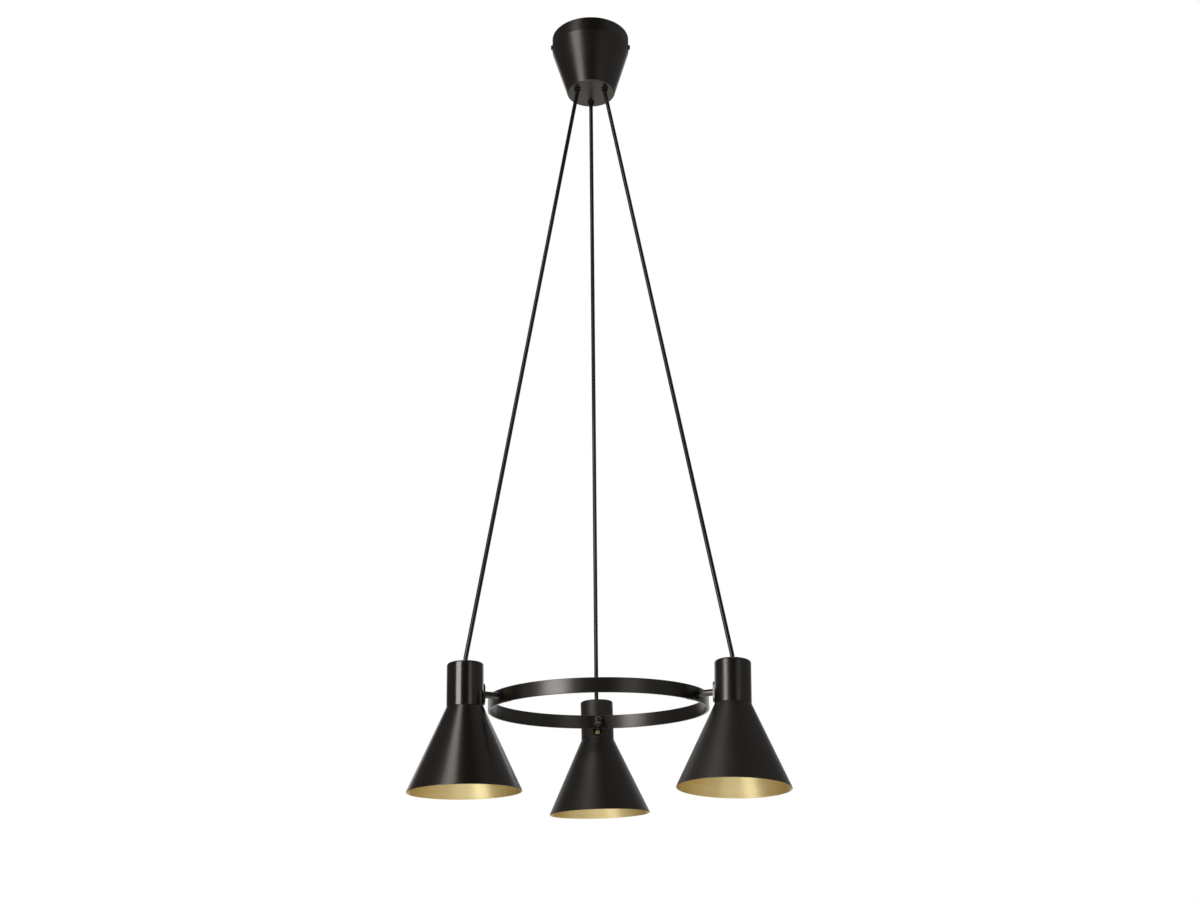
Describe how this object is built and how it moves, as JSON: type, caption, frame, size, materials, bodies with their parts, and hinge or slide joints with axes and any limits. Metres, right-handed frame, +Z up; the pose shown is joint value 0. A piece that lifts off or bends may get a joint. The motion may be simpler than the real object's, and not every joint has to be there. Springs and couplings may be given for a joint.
{
  "type": "pendant lamp",
  "caption": "Ring pendant lamp: black cone shades, brass inside, turn on stems around a flat ring hung by straight cords from a tapered ceiling cup.",
  "frame": {"origin": "on the ceiling, at the middle of the ceiling bracket's top face", "axes": "+Z up through the canopy's axis, -Y towards the picture's viewer, +X to the viewer's right"},
  "size_m": [0.4867, 0.4553, 1.1989],
  "materials": {
    "lacquer": "warm black satin lacquer, brushed",
    "brass": "satin brushed",
    "black_plastic": "matte moulded",
    "cord_black": "smooth round cable sheath",
    "steel": "zinc plated",
    "pale_plastic": "matte moulded",
    "live_sleeve": "smooth lead insulation",
    "neutral_sleeve": "smooth lead insulation",
    "earth_sleeve": "smooth lead insulation"
  },
  "bodies": {
    "canopy": {"canopy_cup": "lacquer", "ceiling_bracket": "steel", "side_screws": "lacquer", "terminal_block": "pale_plastic", "block_screws": "steel", "earth_screw": "brass", "grip_nuts": "black_plastic", "grip_screws": "black_plastic", "live_leads": "live_sleeve", "neutral_leads": "neutral_sleeve", "earth_leads": "earth_sleeve", "left_cord_grip": "black_plastic", "right_cord_grip": "black_plastic", "back_cord_grip": "black_plastic"},
    "cord_tops": {"cord_tops": "cord_black"},
    "cords": {"left_cord": "cord_black", "right_cord": "cord_black", "back_cord": "cord_black"},
    "ring": {"ring_band": "lacquer"},
    "left_shade": {"left_cone_shade": "lacquer", "left_neck": "lacquer", "left_cord_gland": "black_plastic", "left_holder_cap": "black_plastic", "left_holder_body": "black_plastic", "left_screw_shell": "brass", "left_centre_contact": "brass", "left_shade_ring": "black_plastic", "left_pivot_stem": "lacquer", "left_flange_screws": "brass", "left_backing_plate": "steel", "left_pivot_washers": "black_plastic", "left_dome_nut": "lacquer"},
    "right_shade": {"right_cone_shade": "lacquer", "right_neck": "lacquer", "right_cord_gland": "black_plastic", "right_holder_cap": "black_plastic", "right_holder_body": "black_plastic", "right_screw_shell": "brass", "right_centre_contact": "brass", "right_shade_ring": "black_plastic", "right_pivot_stem": "lacquer", "right_flange_screws": "brass", "right_backing_plate": "steel", "right_pivot_washers": "black_plastic", "right_dome_nut": "lacquer"},
    "back_shade": {"back_cone_shade": "lacquer", "back_neck": "lacquer", "back_cord_gland": "black_plastic", "back_holder_cap": "black_plastic", "back_holder_body": "black_plastic", "back_screw_shell": "brass", "back_centre_contact": "brass", "back_shade_ring": "black_plastic", "back_pivot_stem": "lacquer", "back_flange_screws": "brass", "back_backing_plate": "steel", "back_pivot_washers": "black_plastic", "back_dome_nut": "lacquer"}
  },
  "joints": [
    {"name": "pendant_swing_front", "type": "hinge", "parent": "canopy", "child": "cord_tops", "pos_m": [0, 0, -0.1], "axis": [1, 0, 0], "range_deg": [-10, 10], "deforming": ["cord_tops"]},
    {"name": "pendant_swing_side", "type": "hinge", "parent": "cord_tops", "child": "cords", "pos_m": [0, 0, -0.1], "axis": [0, 1, 0], "range_deg": [-10, 10], "deforming": ["left_cord", "right_cord", "back_cord"]},
    {"name": "ring_twist", "type": "hinge", "parent": "cords", "child": "ring", "pos_m": [0, 0, -1.068], "axis": [0, 0, 1], "range_deg": [-25, 25], "stiffness_Nm_per_rad": 0.1},
    {"name": "left_shade_tilt", "type": "hinge", "parent": "ring", "child": "left_shade", "pos_m": [-0.1286, -0.07425, -1.068], "axis": [-0.866, -0.5, 0], "range_deg": [-26.5, 23.5]},
    {"name": "right_shade_tilt", "type": "hinge", "parent": "ring", "child": "right_shade", "pos_m": [0.1286, -0.07425, -1.068], "axis": [0.866, -0.5, 0], "range_deg": [-20.5, 29.5]},
    {"name": "back_shade_tilt", "type": "hinge", "parent": "ring", "child": "back_shade", "pos_m": [0, 0.1485, -1.068], "axis": [0, 1, 0], "range_deg": [-24, 26]}
  ]
}
